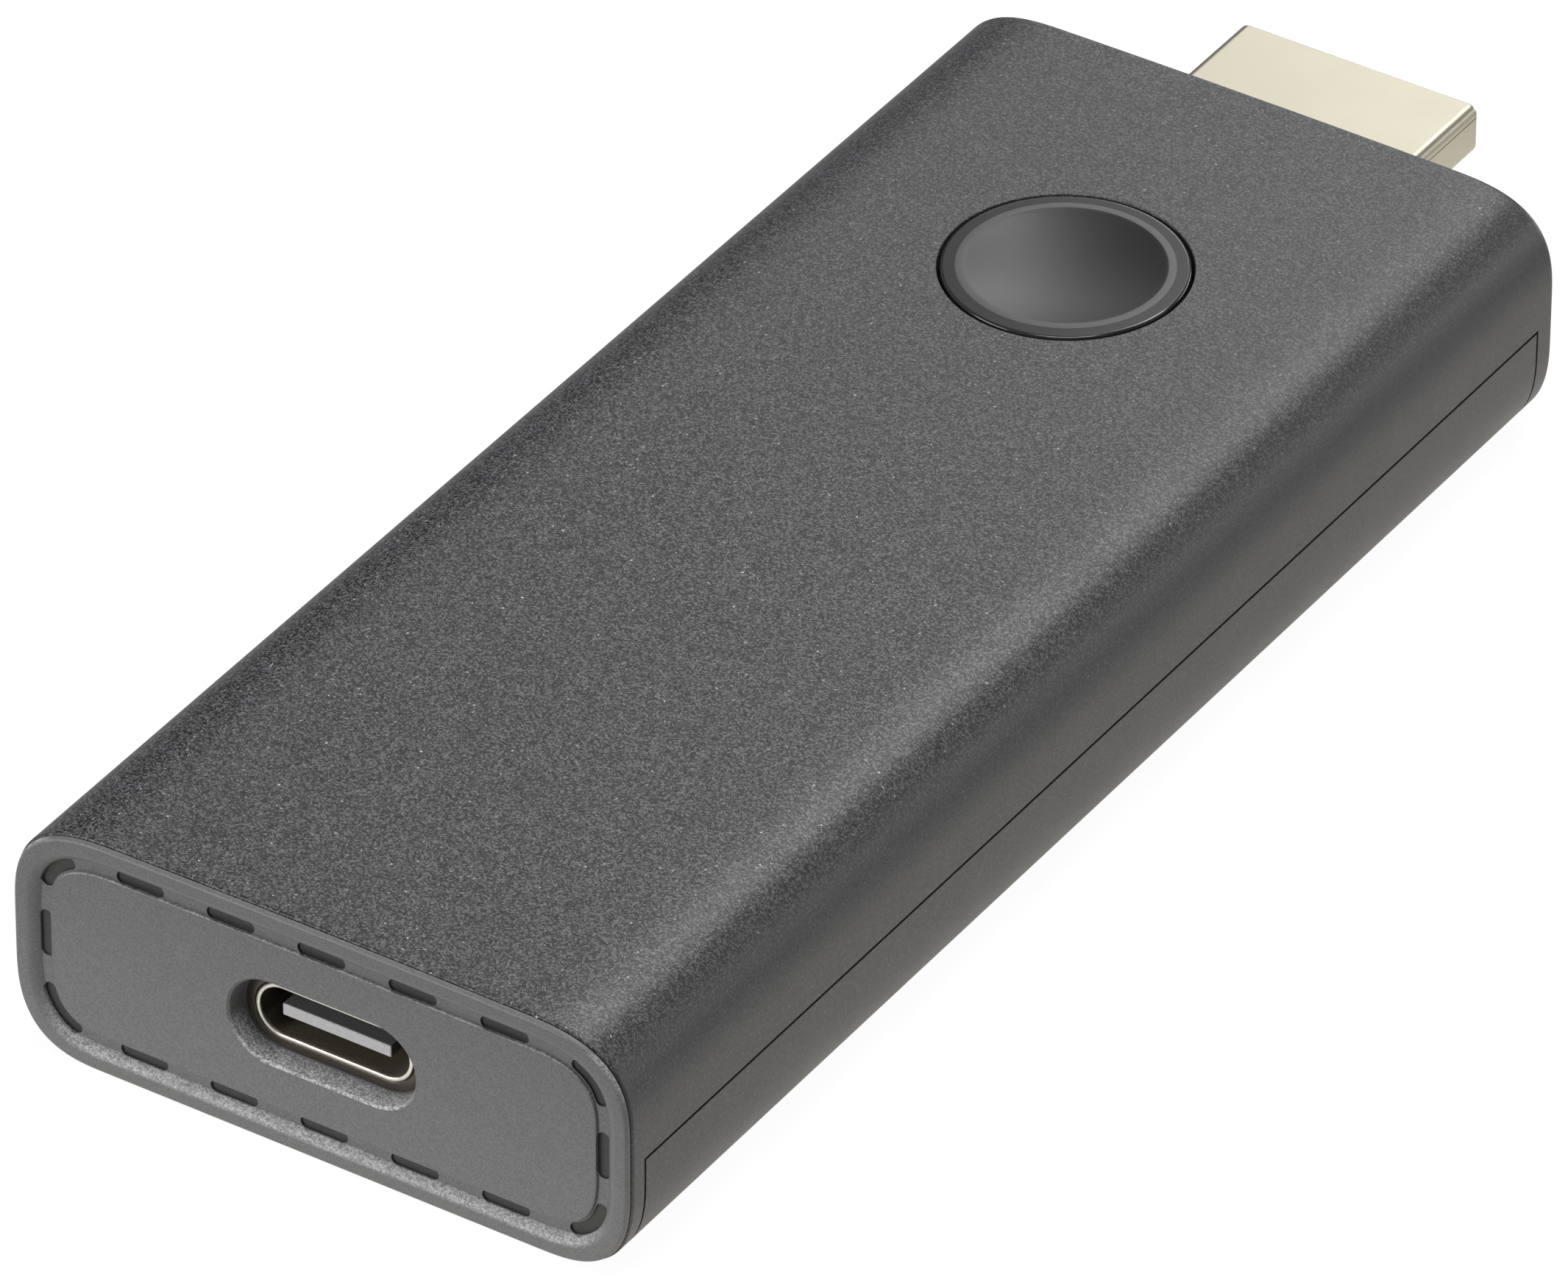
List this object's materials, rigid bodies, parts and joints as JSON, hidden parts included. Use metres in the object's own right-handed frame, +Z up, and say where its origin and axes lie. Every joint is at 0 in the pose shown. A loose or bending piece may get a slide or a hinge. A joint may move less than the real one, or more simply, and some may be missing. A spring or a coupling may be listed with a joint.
{
  "type": "hdmi stick",
  "caption": "Streaming stick: rounded box body with a video plug on one end, a power socket in a vented end cap on the other, and a round dished push button on top.",
  "frame": {"origin": "bottom centre of the box round the whole stick, plug included", "axes": "+X across the width, +Y along the length towards the video plug, +Z up through the button"},
  "size_m": [0.0346, 0.093, 0.0136],
  "materials": {
    "shell_paint": "satin charcoal paint with a fine metallic fleck",
    "cap_plastic": "smooth satin grey",
    "button_plastic": "satin dish, polished shoulder",
    "plug_metal": "satin pale gold plate",
    "contact_metal": "gold plate",
    "steel": "drawn stainless steel",
    "screw_steel": "zinc plated",
    "tinned_steel": "tinned",
    "black_plastic": "moulded matt black",
    "tongue_plastic": "moulded light grey",
    "plunger_plastic": "moulded brown",
    "board": "green solder mask over glass fibre",
    "chip_black": "moulded epoxy",
    "pad_rubber": "soft filled silicone",
    "aluminium": "extruded",
    "coil_ferrite": "pressed ferrite",
    "capacitor_ceramic": "fired ceramic"
  },
  "bodies": {
    "stick": {"top_shell": "shell_paint", "bottom_cover": "shell_paint", "end_cap": "cap_plastic", "plug_shell": "plug_metal", "plug_insulator": "black_plastic", "plug_contacts": "contact_metal", "socket_shell": "steel", "socket_insulator": "tongue_plastic", "socket_contacts": "contact_metal", "main_board": "board", "board_screws": "screw_steel", "processor": "chip_black", "memory_chips": "chip_black", "storage_chip": "chip_black", "radio_chip": "chip_black", "power_chip": "chip_black", "shield_frame": "tinned_steel", "shield_lid": "tinned_steel", "processor_pad": "pad_rubber", "lid_pad": "pad_rubber", "heat_sink": "aluminium", "lower_pad": "pad_rubber", "lower_heat_plate": "aluminium", "switch_body": "black_plastic", "switch_cover": "steel", "switch_dome": "steel", "switch_terminals": "tinned_steel", "crystal": "steel", "inductors": "coil_ferrite", "capacitors": "capacitor_ceramic", "resistors": "chip_black", "antennas": "contact_metal"},
    "button": {"button_cap": "button_plastic"},
    "plunger": {"switch_plunger": "plunger_plastic"}
  },
  "joints": [
    {"name": "button_press", "type": "slide", "parent": "stick", "child": "button", "axis": [0, 0, -1], "range_m": [0, 0.0003], "stiffness_N_per_m": 2500, "springref_m": -0.0003},
    {"name": "plunger_press", "type": "slide", "parent": "stick", "child": "plunger", "axis": [0, 0, -1], "range_m": [0, 0.0003], "deforming": ["switch_dome"]}
  ],
  "couplings": [
    {"joint": "plunger_press", "follows": "button_press", "ratio": 1}
  ]
}
